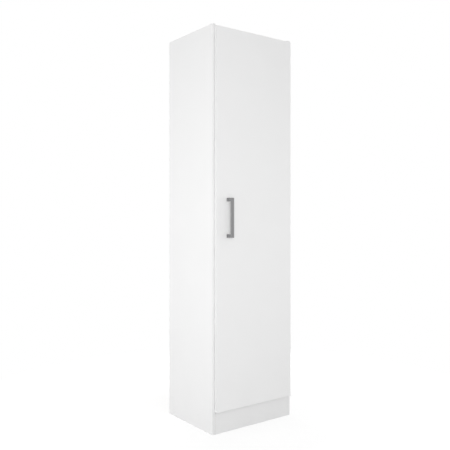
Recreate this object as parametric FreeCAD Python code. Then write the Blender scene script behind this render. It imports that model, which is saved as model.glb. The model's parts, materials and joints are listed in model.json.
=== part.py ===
import FreeCAD, Part
import os

V = FreeCAD.Vector

# A tall single-door broom cupboard of faced board, sent flat and put together with cams and dowels.
# The origin is on the floor under the middle of the whole, +Z up, +X to the viewer's right of the door,
# +Y towards the wall. All lengths are millimetres.

# Carcass boards
HEIGHT = 1800.0
WIDTH = 456.0
CARCASS_DEPTH = 362.0
BOARD = 16.0
PLINTH_HEIGHT = 96.0
TOP_DROP = 6.0
COMPARTMENT_HEIGHT = 322.0
SHELF_SETBACK = 20.0
EDGE_EASE = 0.8

# Back sheet and the rail that the wall screws go through
BACK_THICKNESS = 3.0
GROOVE_DEPTH = 6.0
GROOVE_SETBACK = 10.0
BACK_END_CLEARANCE = 0.5
SHEET_CLEARANCE = 0.1
RAIL_HEIGHT = 70.0
WALL_HOLE_DIAMETER = 6.0
WALL_HOLE_SPACING = 256.0

# Door, lying in front of the carcass and over a part of each side's front edge
DOOR_THICKNESS = 16.0
DOOR_GAP = 1.5
DOOR_OVERLAP = 6.0
DOOR_TOP_REVEAL = 10.0
DOOR_FOOT_GAP = 2.0
BUMPER_DIAMETER = 8.0
BUMPER_THICKNESS = 1.2
BUMPER_END_INSET = 40.0
BUMPER_EDGE_INSET = 4.5

# Square bar handle
HANDLE_HOLE_SPACING = 160.0
HANDLE_LEG = 15.0
HANDLE_WIDTH = 14.0
HANDLE_BAR = 8.0
HANDLE_REACH = 36.0
HANDLE_INSET = 61.0
HANDLE_RISE = 6.0
HANDLE_ROUND = 0.6
HANDLE_SCREW_DIAMETER = 4.0
HANDLE_SCREW_HEAD = 8.0
HANDLE_SCREW_HEAD_HEIGHT = 2.4
HANDLE_SCREW_BITE = 9.0
HANDLE_SCREW_PLAY = 0.4

# Cams, bolts, dowels and nails
FIT = 0.1
CAM_DIAMETER = 14.8
CAM_THICKNESS = 12.5
CAM_DISTANCE = 24.0
CAM_POCKET_SPARE = 0.4
CAM_SLOT_LENGTH = 9.0
CAM_SLOT_WIDTH = 1.8
CAM_SLOT_DEPTH = 2.0
BOLT_THREAD_DIAMETER = 5.0
BOLT_THREAD_LENGTH = 10.0
BOLT_SHANK_DIAMETER = 6.0
BOLT_NECK_DIAMETER = 4.0
BOLT_NECK_LENGTH = 5.0
BOLT_HEAD_DIAMETER = 6.5
BOLT_HEAD_LENGTH = 3.0
BOLT_BORE_DIAMETER = 8.0
DOWEL_DIAMETER = 7.8
DOWEL_LENGTH = 30.0
DOWEL_IN_SIDE = 10.0
DOWEL_CHAMFER = 0.8
HOLE_SPARE = 0.5
FITTING_INSET = 50.0
FITTING_SPACING = 32.0
NAIL_DIAMETER = 1.5
NAIL_LENGTH = 18.0
NAIL_HEAD_DIAMETER = 3.6
NAIL_HEAD_HEIGHT = 0.6
NAIL_SPACING = 150.0

# Concealed hinges: cup, mounting plate and arm
HINGE_END_INSET = 90.0
CUP_DIAMETER = 34.8
CUP_DEPTH = 12.0
CUP_WALL = 1.0
CUP_INSET = 22.0
CUP_FLANGE = 1.0
CUP_FLANGE_LIP = 1.1
CUP_SCREW_SPACING = 48.0
CUP_SCREW_OFFSET = 6.0
CUP_EAR_RADIUS = 6.0
CUP_SCREW_DIAMETER = 3.5
CUP_SCREW_BITE = 11.0
CUP_SCREW_HEAD = 6.8
CUP_SCREW_HEAD_HEIGHT = 1.6
PLATE_BASE = 2.0
PLATE_RISE = 5.0
PLATE_BODY_WIDTH = 12.8
PLATE_BODY_START = 26.0
PLATE_BODY_LENGTH = 36.0
PLATE_WING_SPAN = 44.0
PLATE_WING_WIDTH = 13.0
PLATE_SETBACK = 37.0
PLATE_SCREW_SPACING = 32.0
PLATE_SCREW_DIAMETER = 5.0
PLATE_SCREW_BITE = 11.0
PLATE_SCREW_HEAD = 7.6
PLATE_SCREW_HEAD_HEIGHT = 1.8
ARM_SHEET = 1.5
ARM_WIDTH = 16.0
ARM_FLANGE = 1.3
ARM_FLANGE_DEPTH = 4.0
ARM_NOSE_RISE = 12.0
ARM_NOSE_OVERLAP = 11.0
ARM_TAIL_RISE = 64.0
ARM_NOSE_RADIUS = 2.4
ARM_SCREW_DIAMETER = 4.8
ARM_SCREW_BITE = 4.0
ARM_SCREW_HEAD = 7.5
ARM_SCREW_HEAD_HEIGHT = 2.0
ARM_SCREW_INSET = 7.0

# Hinge linkage in plan. Inset runs from the door's hinge edge towards its handle, rise from the
# door's back face towards the wall, so a negative rise lies inside the cup.
INNER_ARM_INSET = 23.2
INNER_ARM_RISE = 4.4
OUTER_ARM_INSET = 31.8
OUTER_ARM_RISE = -7.3
INNER_CUP_INSET = 8.5
INNER_CUP_RISE = -2.6
OUTER_CUP_INSET = 13.75
OUTER_CUP_RISE = -3.2
INNER_KNEE_INSET = 13.2
INNER_KNEE_RISE = -5.9
OUTER_KNEE_INSET = 19.6
OUTER_KNEE_RISE = -7.4
EYE_SHIFT_INSET = 0.34
EYE_SHIFT_RISE = -1.14
PIN_DIAMETER = 1.8
PIN_PLAY = 0.05
PIN_STAND = 0.4
LOOSE_EYE_PLAY = 1.3
LINK_RADIUS = 1.7
EYE_RADIUS = 2.2
LOOSE_EYE_WALL = 0.8
INNER_LINK_WIDTH = 6.4
LINK_SHEET = 1.2
LAYER_GAP = 0.15
OUTER_WEB_START = 3.4
OUTER_WEB_LENGTH = 5.0

# Overrun of every cutting tool past the face it cuts
OVERRUN = 1.0

# Planes that the pieces share
OVERALL_DEPTH = CARCASS_DEPTH + DOOR_GAP + DOOR_THICKNESS + HANDLE_REACH
REAR_Y = OVERALL_DEPTH / 2
FRONT_Y = REAR_Y - CARCASS_DEPTH
DOOR_BACK_Y = FRONT_Y - DOOR_GAP
DOOR_FRONT_Y = DOOR_BACK_Y - DOOR_THICKNESS
SIDE_OUTER_X = WIDTH / 2
SIDE_INNER_X = SIDE_OUTER_X - BOARD
DOOR_EDGE_X = SIDE_INNER_X + DOOR_OVERLAP
SHEET_REAR_Y = REAR_Y - GROOVE_SETBACK - SHEET_CLEARANCE
SHEET_FRONT_Y = SHEET_REAR_Y - BACK_THICKNESS
TOP_Z = HEIGHT - TOP_DROP - BOARD
SHELF_Z = TOP_Z - COMPARTMENT_HEIGHT - BOARD
DOOR_FOOT_Z = PLINTH_HEIGHT + DOOR_FOOT_GAP
DOOR_TOP_Z = HEIGHT - DOOR_TOP_REVEAL
DOOR_MIDDLE_Z = (DOOR_FOOT_Z + DOOR_TOP_Z) / 2
HANDLE_X = HANDLE_INSET - DOOR_EDGE_X
HANDLE_FRONT_Y = DOOR_FRONT_Y - HANDLE_REACH
HANDLE_HEIGHT = HANDLE_HOLE_SPACING + HANDLE_LEG
HANDLE_MIDDLE_Z = DOOR_MIDDLE_Z + HANDLE_RISE
HINGE_HEIGHTS = {
    "upper": DOOR_TOP_Z - HINGE_END_INSET,
    "middle": DOOR_MIDDLE_Z,
    "lower": DOOR_FOOT_Z + HINGE_END_INSET,
}
HANDLE_HOLE_HEIGHTS = [HANDLE_MIDDLE_Z + end * HANDLE_HOLE_SPACING / 2 for end in (-1, 1)]

RIGHTWARDS = V(1, 0, 0)
REARWARDS = V(0, 1, 0)
FORWARDS = V(0, -1, 0)
UPWARDS = V(0, 0, 1)
DOWNWARDS = V(0, 0, -1)


def block(x0, x1, y0, y1, z0, z1):
    """A square-edged block between two corners."""
    return Part.makeBox(x1 - x0, y1 - y0, z1 - z0, V(x0, y0, z0))


def rod(start, direction, diameter, length):
    """A round bar from a point."""
    return Part.makeCylinder(diameter / 2, length, start, direction)


def stepped(start, direction, steps):
    """A turned piece: round steps of (diameter, length), end to end along a line."""
    pieces = []
    place = V(start)
    for diameter, length in steps:
        pieces.append(rod(place, direction, diameter, length))
        place = place + direction * length
    return pieces[0].fuse(pieces[1:]).removeSplitter()


def bar(start, end, radius, low, high):
    """A flat link with round ends between two points in plan, from one height to another."""
    along = end - start
    along.normalize()
    across = V(-along.y, along.x, 0)
    left_start = start + across * radius
    left_end = end + across * radius
    right_end = end - across * radius
    right_start = start - across * radius
    edges = [
        Part.LineSegment(left_start, left_end),
        Part.Arc(left_end, end + along * radius, right_end),
        Part.LineSegment(right_end, right_start),
        Part.Arc(right_start, start - along * radius, left_start),
    ]
    outline = Part.Wire([edge.toShape() for edge in edges])
    outline.translate(UPWARDS * low)
    return Part.Face(outline).extrude(UPWARDS * (high - low))


def joined(shapes):
    """Several touching solids as one."""
    return shapes[0].fuse(shapes[1:]).removeSplitter()


def eased(shape, direction):
    """A board with the long edges along one direction very slightly rounded, as edge strip leaves them."""
    edges = [
        edge for edge in shape.Edges
        if abs(edge.tangentAt(edge.FirstParameter).dot(direction)) > 1 - Part.Precision.confusion()
    ]
    return shape.makeFillet(EDGE_EASE, edges)


def turned_to(shape, place, along, up):
    """A shape moved from the origin to a place, with its X turned along one way and its Z up another."""
    turn = FreeCAD.Rotation(along, up.cross(along), up)
    shape.Placement = FreeCAD.Placement(place, turn).multiply(shape.Placement)
    return shape


def save(name, shape):
    """One named sub-part, as one or several separate solids."""
    solids = shape.Solids
    volume = sum(solid.Volume for solid in solids)
    shape.exportStep("parts/" + name + ".step")
    print(f"{name}: {len(solids)} solid(s), {volume / 1000:.1f} cm3, valid {shape.isValid()}")


# Knock-down fittings. Each adds its pieces to a list and its holes to the two boards that it joins.
board_cuts = {name: [] for name in ("left", "right", "top", "bottom", "shelf", "plinth", "rail")}
cam_discs = []
cam_bolts = []
dowels = []
nails = []


def add_cam(board, hand, y, z, face, depth):
    """A cam and its bolt: the bolt stands in the side, the cam lies in the board's face, depth away."""
    side = "right" if hand > 0 else "left"
    out = RIGHTWARDS * hand
    into = out * -1
    joint = V(hand * SIDE_INNER_X, y, z)
    shank = CAM_DISTANCE - BOLT_NECK_LENGTH - BOLT_HEAD_LENGTH / 2
    steps = [
        (BOLT_THREAD_DIAMETER, BOLT_THREAD_LENGTH),
        (BOLT_SHANK_DIAMETER, shank),
        (BOLT_NECK_DIAMETER, BOLT_NECK_LENGTH),
        (BOLT_HEAD_DIAMETER, BOLT_HEAD_LENGTH),
    ]
    cam_bolts.append(stepped(joint + out * BOLT_THREAD_LENGTH, into, steps))
    thread_hole = BOLT_THREAD_DIAMETER + 2 * FIT
    thread_depth = OVERRUN + BOLT_THREAD_LENGTH + HOLE_SPARE
    board_cuts[side].append(rod(joint + into * OVERRUN, out, thread_hole, thread_depth))
    board_cuts[board].append(rod(joint + out * OVERRUN, into, BOLT_BORE_DIAMETER, OVERRUN + CAM_DISTANCE))
    centre = joint + into * CAM_DISTANCE + face * depth
    pocket = CAM_DIAMETER + 2 * FIT
    pocket_depth = OVERRUN + CAM_THICKNESS + CAM_POCKET_SPARE
    board_cuts[board].append(rod(centre + face * OVERRUN, face * -1, pocket, pocket_depth))
    disc = rod(centre, face * -1, CAM_DIAMETER, CAM_THICKNESS)
    mouth_width = max(BOLT_HEAD_DIAMETER, BOLT_SHANK_DIAMETER) + 2 * FIT
    mouth_length = CAM_DIAMETER / 2 + BOLT_HEAD_LENGTH / 2 + FIT
    mouth = Part.makeBox(mouth_length + OVERRUN, mouth_width, mouth_width)
    mouth.translate(V(-BOLT_HEAD_LENGTH / 2 - FIT, -mouth_width / 2, -mouth_width / 2))
    mouth = turned_to(mouth, joint + into * CAM_DISTANCE, out, face)
    slot = Part.makeBox(CAM_SLOT_LENGTH, CAM_SLOT_WIDTH, CAM_SLOT_DEPTH + OVERRUN)
    slot.translate(V(-CAM_SLOT_LENGTH / 2, -CAM_SLOT_WIDTH / 2, -CAM_SLOT_DEPTH))
    slot = turned_to(slot, centre, RIGHTWARDS, face)
    cam_discs.append(disc.cut([mouth, slot]))


def add_dowel(board, hand, y, z):
    """A beech dowel with its short end in the side and the rest in the board's end."""
    side = "right" if hand > 0 else "left"
    out = RIGHTWARDS * hand
    into = out * -1
    joint = V(hand * SIDE_INNER_X, y, z)
    peg = rod(joint + out * DOWEL_IN_SIDE, into, DOWEL_DIAMETER, DOWEL_LENGTH)
    rims = [edge for edge in peg.Edges if edge.Closed]
    dowels.append(peg.makeChamfer(DOWEL_CHAMFER, rims))
    hole = DOWEL_DIAMETER + 2 * FIT
    board_cuts[side].append(rod(joint + into * OVERRUN, out, hole, OVERRUN + DOWEL_IN_SIDE + HOLE_SPARE))
    in_board = DOWEL_LENGTH - DOWEL_IN_SIDE + HOLE_SPARE
    board_cuts[board].append(rod(joint + out * OVERRUN, into, hole, OVERRUN + in_board))


def add_nail(board, x, z, sheet_cuts):
    """A nail through the back sheet into a board's rear edge."""
    head = V(x, SHEET_REAR_Y + NAIL_HEAD_HEIGHT, z)
    steps = [(NAIL_HEAD_DIAMETER, NAIL_HEAD_HEIGHT), (NAIL_DIAMETER, NAIL_LENGTH)]
    nails.append(stepped(head, FORWARDS, steps))
    hole_start = V(x, SHEET_REAR_Y + OVERRUN, z)
    hole_depth = OVERRUN + NAIL_LENGTH + HOLE_SPARE
    hole = rod(hole_start, FORWARDS, NAIL_DIAMETER + 2 * FIT, hole_depth)
    board_cuts[board].append(hole)
    sheet_cuts.append(hole)


level_boards = {"top": TOP_Z, "bottom": PLINTH_HEIGHT, "shelf": SHELF_Z}
level_fronts = {"top": FRONT_Y, "bottom": FRONT_Y, "shelf": FRONT_Y + SHELF_SETBACK}
RAIL_Z = TOP_Z - RAIL_HEIGHT
RAIL_FRONT_Y = SHEET_FRONT_Y - BOARD
RAIL_MIDDLE_Z = RAIL_Z + RAIL_HEIGHT / 2
sheet_cuts = []
for hand in (-1, 1):
    for board, foot in level_boards.items():
        middle = foot + BOARD / 2
        front = level_fronts[board] + FITTING_INSET
        rear = RAIL_FRONT_Y - FITTING_INSET
        add_cam(board, hand, front, middle, DOWNWARDS, BOARD / 2)
        add_cam(board, hand, rear, middle, DOWNWARDS, BOARD / 2)
        add_dowel(board, hand, front + FITTING_SPACING, middle)
        add_dowel(board, hand, rear - FITTING_SPACING, middle)
    plinth_y = FRONT_Y + BOARD / 2
    add_cam("plinth", hand, plinth_y, (PLINTH_HEIGHT + FITTING_SPACING) / 2, REARWARDS, BOARD / 2)
    add_dowel("plinth", hand, plinth_y, (PLINTH_HEIGHT - FITTING_SPACING) / 2)
    rail_y = RAIL_FRONT_Y + BOARD / 2
    add_cam("rail", hand, rail_y, RAIL_MIDDLE_Z - FITTING_SPACING / 2, FORWARDS, BOARD / 2)
    add_dowel("rail", hand, rail_y, RAIL_MIDDLE_Z + FITTING_SPACING / 2)
for board, foot in level_boards.items():
    for step in (-1, 0, 1):
        add_nail(board, step * NAIL_SPACING, foot + BOARD / 2, sheet_cuts)

# Wall-screw holes go through the rail and the back sheet behind it
for step in (-1, 1):
    hole_start = V(step * WALL_HOLE_SPACING / 2, RAIL_FRONT_Y - OVERRUN, RAIL_MIDDLE_Z)
    hole_length = BOARD + BACK_THICKNESS + 2 * OVERRUN
    hole = rod(hole_start, REARWARDS, WALL_HOLE_DIAMETER, hole_length)
    board_cuts["rail"].append(hole)
    sheet_cuts.append(hole)


# Hinges. Plan points turn inset and rise into places beside the door's hinge edge.
def plan(inset, rise):
    """A point in plan from its inset and rise."""
    return V(DOOR_EDGE_X - inset, DOOR_BACK_Y + rise, 0)


INNER_ARM = plan(INNER_ARM_INSET, INNER_ARM_RISE)
OUTER_ARM = plan(OUTER_ARM_INSET, OUTER_ARM_RISE)
INNER_CUP = plan(INNER_CUP_INSET, INNER_CUP_RISE)
OUTER_CUP = plan(OUTER_CUP_INSET, OUTER_CUP_RISE)
INNER_KNEE = plan(INNER_KNEE_INSET, INNER_KNEE_RISE)
OUTER_KNEE = plan(OUTER_KNEE_INSET, OUTER_KNEE_RISE)
LOOSE_EYE = plan(OUTER_CUP_INSET + EYE_SHIFT_INSET, OUTER_CUP_RISE + EYE_SHIFT_RISE)
CUP_CENTRE = plan(CUP_INSET, 0)
CUP_INNER_RADIUS = CUP_DIAMETER / 2 - CUP_WALL
PIN_HOLE = PIN_DIAMETER + 2 * PIN_PLAY
LOOSE_HOLE = PIN_DIAMETER + 2 * LOOSE_EYE_PLAY
CHEEK_IN = INNER_LINK_WIDTH / 2 + LAYER_GAP
CHEEK_OUT = CHEEK_IN + ARM_FLANGE
CLEVIS_IN = CHEEK_OUT + LAYER_GAP
CLEVIS_OUT = CLEVIS_IN + LINK_SHEET
WEB_INNER_INSET = DOOR_OVERLAP + PLATE_BASE + PLATE_RISE
WEB_OUTER_INSET = WEB_INNER_INSET + ARM_SHEET
ARM_NOSE = plan((WEB_INNER_INSET + WEB_OUTER_INSET) / 2, ARM_NOSE_RISE)
PLATE_SCREW_RISE = DOOR_GAP + PLATE_SETBACK
ARM_SCREW_RISES = (
    PLATE_BODY_START + ARM_SCREW_INSET,
    PLATE_BODY_START + PLATE_BODY_LENGTH - ARM_SCREW_INSET,
)


def pin(point, low, high, diameter):
    """An upright pin, or the tool for its hole."""
    return rod(point + UPWARDS * low, UPWARDS, diameter, high - low)


def chord(point, radius):
    """Half the cup's upright width beside the far side of a pin."""
    reach = abs(point.x - CUP_CENTRE.x) + PIN_DIAMETER / 2
    return (radius ** 2 - reach ** 2) ** 0.5


def hinge_cup(z):
    """The pressed cup, its screw flange and the two studs of the outer link."""
    mouth = CUP_CENTRE + UPWARDS * z
    body = rod(mouth, FORWARDS, CUP_DIAMETER, CUP_DEPTH)
    flange_width = CUP_DIAMETER + 2 * FIT + 2 * CUP_FLANGE_LIP
    ear_x = CUP_CENTRE.x - CUP_SCREW_OFFSET
    ears = block(
        ear_x - CUP_EAR_RADIUS, ear_x + CUP_EAR_RADIUS, DOOR_BACK_Y, DOOR_BACK_Y + CUP_FLANGE,
        z - CUP_SCREW_SPACING / 2, z + CUP_SCREW_SPACING / 2)
    flange = [rod(mouth, REARWARDS, flange_width, CUP_FLANGE), ears]
    holes = []
    for end in (-1, 1):
        ear = V(ear_x, DOOR_BACK_Y, z + end * CUP_SCREW_SPACING / 2)
        flange.append(rod(ear, REARWARDS, 2 * CUP_EAR_RADIUS, CUP_FLANGE))
        hole_start = ear + FORWARDS * OVERRUN
        holes.append(rod(hole_start, REARWARDS, CUP_SCREW_DIAMETER + 2 * FIT, CUP_FLANGE + 2 * OVERRUN))
    hollow_depth = CUP_DEPTH - CUP_WALL + CUP_FLANGE + OVERRUN
    hollow_start = mouth + REARWARDS * (CUP_FLANGE + OVERRUN)
    holes.append(rod(hollow_start, FORWARDS, 2 * CUP_INNER_RADIUS, hollow_depth))
    holes.append(pin(INNER_CUP, z - CUP_DIAMETER / 2, z + CUP_DIAMETER / 2, PIN_HOLE))
    shell = joined([body] + flange).cut(holes)
    stud_end = chord(OUTER_CUP, CUP_DIAMETER / 2 - CUP_WALL / 2)
    studs = [
        pin(OUTER_CUP, z + CLEVIS_IN, z + stud_end, PIN_DIAMETER),
        pin(OUTER_CUP, z - stud_end, z - CLEVIS_IN, PIN_DIAMETER),
    ]
    return joined([shell] + studs)


def hinge_plate(z):
    """The winged plate on the side's inner face, with the raised bed that the arm lies on."""
    x = SIDE_INNER_X
    y = DOOR_BACK_Y + PLATE_SCREW_RISE
    bed_start = DOOR_BACK_Y + PLATE_BODY_START
    bed_end = bed_start + PLATE_BODY_LENGTH
    half_bed = PLATE_BODY_WIDTH / 2
    half_wing = PLATE_WING_WIDTH / 2
    base_x = x - PLATE_BASE
    wings = block(
        base_x, x, y - half_wing, y + half_wing, z - PLATE_WING_SPAN / 2, z + PLATE_WING_SPAN / 2)
    corners = [
        edge for edge in wings.Edges
        if abs(edge.tangentAt(edge.FirstParameter).dot(RIGHTWARDS)) > Part.Precision.confusion()
    ]
    wings = wings.makeFillet(half_wing / 2, corners)
    bed = block(base_x - PLATE_RISE, x, bed_start, bed_end, z - half_bed, z + half_bed)
    holes = []
    for end in (-1, 1):
        start = V(x + OVERRUN, y, z + end * PLATE_SCREW_SPACING / 2)
        holes.append(rod(start, RIGHTWARDS * -1, PLATE_SCREW_DIAMETER + 2 * FIT, PLATE_BASE + 2 * OVERRUN))
    arm_hole_depth = OVERRUN + ARM_SCREW_BITE + HOLE_SPARE
    for rise in ARM_SCREW_RISES:
        start = V(base_x - PLATE_RISE - OVERRUN, DOOR_BACK_Y + rise, z)
        holes.append(rod(start, RIGHTWARDS, ARM_SCREW_DIAMETER + 2 * FIT, arm_hole_depth))
    return joined([wings, bed]).cut(holes)


def hinge_arm(z):
    """The channel-shaped arm: a web on the plate's bed and two cheeks that dip into the cup."""
    web_x0 = DOOR_EDGE_X - WEB_OUTER_INSET
    web_x1 = DOOR_EDGE_X - WEB_INNER_INSET
    half = ARM_WIDTH / 2
    nose_y = ARM_NOSE.y
    tail_y = DOOR_BACK_Y + ARM_TAIL_RISE
    flange_y = nose_y + ARM_NOSE_OVERLAP
    pieces = [block(web_x0, web_x1, nose_y, tail_y, z - half, z + half)]
    overlap_end = ARM_NOSE + REARWARDS * ARM_NOSE_OVERLAP
    cheek_points = [OUTER_ARM, INNER_ARM, ARM_NOSE, overlap_end]
    for side in (-1, 1):
        low, high = sorted((z + side * half, z + side * (half - ARM_FLANGE)))
        pieces.append(block(web_x0, web_x1 + ARM_FLANGE_DEPTH, flange_y, tail_y, low, high))
        low, high = sorted((z + side * CHEEK_IN, z + side * CHEEK_OUT))
        for start, end in zip(cheek_points, cheek_points[1:]):
            pieces.append(bar(start, end, ARM_NOSE_RADIUS, low, high))
    holes = []
    for point in (INNER_ARM, OUTER_ARM):
        holes.append(pin(point, z - CHEEK_OUT - OVERRUN, z + CHEEK_OUT + OVERRUN, PIN_HOLE))
    for rise in ARM_SCREW_RISES:
        start = V(web_x0 - OVERRUN, DOOR_BACK_Y + rise, z)
        holes.append(rod(start, RIGHTWARDS, ARM_SCREW_DIAMETER + 2 * FIT, ARM_SHEET + 2 * OVERRUN))
    return joined(pieces).cut(holes)


def inner_link(z):
    """The short link: a folded sheet with its web on the cup's side and an eye at each end."""
    half = INNER_LINK_WIDTH / 2
    inside = half - LINK_SHEET

    def outline(reach):
        low, high = z - reach, z + reach
        eye_size = 2 * EYE_RADIUS
        return joined([
            bar(INNER_ARM, INNER_KNEE, LINK_RADIUS, low, high),
            bar(INNER_KNEE, INNER_CUP, LINK_RADIUS, low, high),
            pin(INNER_ARM, low, high, eye_size),
            pin(INNER_CUP, low, high, eye_size),
        ])

    along = INNER_CUP - INNER_ARM
    along.normalize()
    opened = outline(inside)
    opened.translate(V(-along.y, along.x, 0) * PIN_DIAMETER / 2)
    tall = half + OVERRUN
    holes = [pin(point, z - tall, z + tall, PIN_HOLE) for point in (INNER_ARM, INNER_CUP)]
    return outline(half).cut([opened] + holes)


def outer_link(z):
    """The long link: two side plates joined by a web, with an oversize eye on the cup's studs."""
    loose_size = LOOSE_HOLE + 2 * LOOSE_EYE_WALL
    pieces = []
    for side in (-1, 1):
        low, high = sorted((z + side * CLEVIS_IN, z + side * CLEVIS_OUT))
        pieces.append(bar(OUTER_ARM, OUTER_KNEE, LINK_RADIUS, low, high))
        pieces.append(bar(OUTER_KNEE, LOOSE_EYE, LINK_RADIUS, low, high))
        pieces.append(pin(OUTER_ARM, low, high, 2 * EYE_RADIUS))
        pieces.append(pin(LOOSE_EYE, low, high, loose_size))
    web_x = OUTER_ARM.x + OUTER_WEB_START
    web_y = min(OUTER_ARM.y, OUTER_KNEE.y) - LINK_RADIUS
    pieces.append(block(
        web_x, web_x + OUTER_WEB_LENGTH, web_y, web_y + LINK_SHEET, z - CLEVIS_OUT, z + CLEVIS_OUT))
    tall = CLEVIS_OUT + OVERRUN
    holes = [pin(OUTER_ARM, z - tall, z + tall, PIN_HOLE), pin(LOOSE_EYE, z - tall, z + tall, LOOSE_HOLE)]
    return joined(pieces).cut(holes)


door_cuts = []
arm_pins = []
cup_pins = []
cup_screws = []
plate_screws = []
arm_screws = []
hinge_pieces = {}
HINGE_MAKERS = {
    "cup": hinge_cup,
    "plate": hinge_plate,
    "arm": hinge_arm,
    "inner_link": inner_link,
    "outer_link": outer_link,
}


def add_hinge(place, z):
    """The five named pieces of one hinge, its three pins, and the bore for its cup in the door."""
    for kind, make in HINGE_MAKERS.items():
        hinge_pieces["hinge_" + kind + "_" + place] = make(z)
    arm_pins.append(pin(INNER_ARM, z - CHEEK_OUT, z + CHEEK_OUT, PIN_DIAMETER))
    outer_end = CLEVIS_OUT + PIN_STAND
    arm_pins.append(pin(OUTER_ARM, z - outer_end, z + outer_end, PIN_DIAMETER))
    cup_end = chord(INNER_CUP, CUP_DIAMETER / 2)
    cup_pins.append(pin(INNER_CUP, z - cup_end, z + cup_end, PIN_DIAMETER))
    mouth = CUP_CENTRE + UPWARDS * z + REARWARDS * OVERRUN
    door_cuts.append(rod(mouth, FORWARDS, CUP_DIAMETER + 2 * FIT, OVERRUN + CUP_DEPTH + HOLE_SPARE))


def add_cup_screw(z):
    """A screw through an ear of the cup into the door's back."""
    ear = V(CUP_CENTRE.x - CUP_SCREW_OFFSET, DOOR_BACK_Y + CUP_FLANGE, z)
    bite = CUP_FLANGE + CUP_SCREW_BITE
    steps = [(CUP_SCREW_HEAD, CUP_SCREW_HEAD_HEIGHT), (CUP_SCREW_DIAMETER, bite)]
    cup_screws.append(stepped(ear + REARWARDS * CUP_SCREW_HEAD_HEIGHT, FORWARDS, steps))
    door_cuts.append(rod(ear, FORWARDS, CUP_SCREW_DIAMETER + 2 * FIT, bite + HOLE_SPARE))


def add_plate_screw(z):
    """A screw through a wing of the plate into the side's inner face."""
    wing = V(SIDE_INNER_X - PLATE_BASE, DOOR_BACK_Y + PLATE_SCREW_RISE, z)
    bite = PLATE_BASE + PLATE_SCREW_BITE
    steps = [(PLATE_SCREW_HEAD, PLATE_SCREW_HEAD_HEIGHT), (PLATE_SCREW_DIAMETER, bite)]
    plate_screws.append(stepped(wing - RIGHTWARDS * PLATE_SCREW_HEAD_HEIGHT, RIGHTWARDS, steps))
    board_cuts["right"].append(rod(wing, RIGHTWARDS, PLATE_SCREW_DIAMETER + 2 * FIT, bite + HOLE_SPARE))


def add_arm_screw(rise, z):
    """A screw that holds or sets the arm on the plate's bed."""
    web = V(DOOR_EDGE_X - WEB_OUTER_INSET, DOOR_BACK_Y + rise, z)
    steps = [(ARM_SCREW_HEAD, ARM_SCREW_HEAD_HEIGHT), (ARM_SCREW_DIAMETER, ARM_SHEET + ARM_SCREW_BITE)]
    arm_screws.append(stepped(web - RIGHTWARDS * ARM_SCREW_HEAD_HEIGHT, RIGHTWARDS, steps))


for place, z in HINGE_HEIGHTS.items():
    add_hinge(place, z)
    for end in (-1, 1):
        add_cup_screw(z + end * CUP_SCREW_SPACING / 2)
        add_plate_screw(z + end * PLATE_SCREW_SPACING / 2)
    for rise in ARM_SCREW_RISES:
        add_arm_screw(rise, z)


# Boards
def side_panel(hand):
    """A full-height side with the groove for the back sheet."""
    x0, x1 = sorted((hand * SIDE_INNER_X, hand * SIDE_OUTER_X))
    panel = eased(block(x0, x1, FRONT_Y, REAR_Y, 0, HEIGHT), UPWARDS)
    groove_x0, groove_x1 = sorted((hand * (SIDE_INNER_X - OVERRUN), hand * (SIDE_INNER_X + GROOVE_DEPTH)))
    groove = block(
        groove_x0, groove_x1, SHEET_FRONT_Y - SHEET_CLEARANCE, SHEET_REAR_Y + SHEET_CLEARANCE,
        -OVERRUN, HEIGHT + OVERRUN)
    side = "right" if hand > 0 else "left"
    return panel.cut([groove] + board_cuts[side])


def level_board(name):
    """A level board between the sides."""
    foot = level_boards[name]
    shape = block(-SIDE_INNER_X, SIDE_INNER_X, level_fronts[name], SHEET_FRONT_Y, foot, foot + BOARD)
    return shape.cut(board_cuts[name])


def door():
    """The door board with its cup bores and screw holes."""
    shape = block(-DOOR_EDGE_X, DOOR_EDGE_X, DOOR_FRONT_Y, DOOR_BACK_Y, DOOR_FOOT_Z, DOOR_TOP_Z)
    front_rim = [edge for edge in shape.Edges if edge.BoundBox.YMax < DOOR_BACK_Y - DOOR_THICKNESS / 2]
    shape = shape.makeFillet(EDGE_EASE, front_rim)
    return shape.cut(door_cuts)


def handle():
    """The square bar handle: a bar on two legs, with the screw holes in the legs."""
    low = HANDLE_MIDDLE_Z - HANDLE_HEIGHT / 2
    high = HANDLE_MIDDLE_Z + HANDLE_HEIGHT / 2
    left = HANDLE_X - HANDLE_WIDTH / 2
    right = HANDLE_X + HANDLE_WIDTH / 2
    outside = block(left, right, HANDLE_FRONT_Y, DOOR_FRONT_Y, low, high)
    rim = [edge for edge in outside.Edges if edge.BoundBox.YMax < DOOR_FRONT_Y - HANDLE_BAR]
    outside = outside.makeFillet(HANDLE_ROUND, rim)
    finger_gap = block(
        HANDLE_X - HANDLE_WIDTH, HANDLE_X + HANDLE_WIDTH,
        HANDLE_FRONT_Y + HANDLE_BAR, DOOR_FRONT_Y + OVERRUN, low + HANDLE_LEG, high - HANDLE_LEG)
    holes = []
    for z in HANDLE_HOLE_HEIGHTS:
        start = V(HANDLE_X, DOOR_FRONT_Y + OVERRUN, z)
        depth = OVERRUN + HANDLE_SCREW_BITE + HOLE_SPARE
        holes.append(rod(start, FORWARDS, HANDLE_SCREW_DIAMETER + 2 * FIT, depth))
    return outside.cut([finger_gap] + holes)


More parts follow.
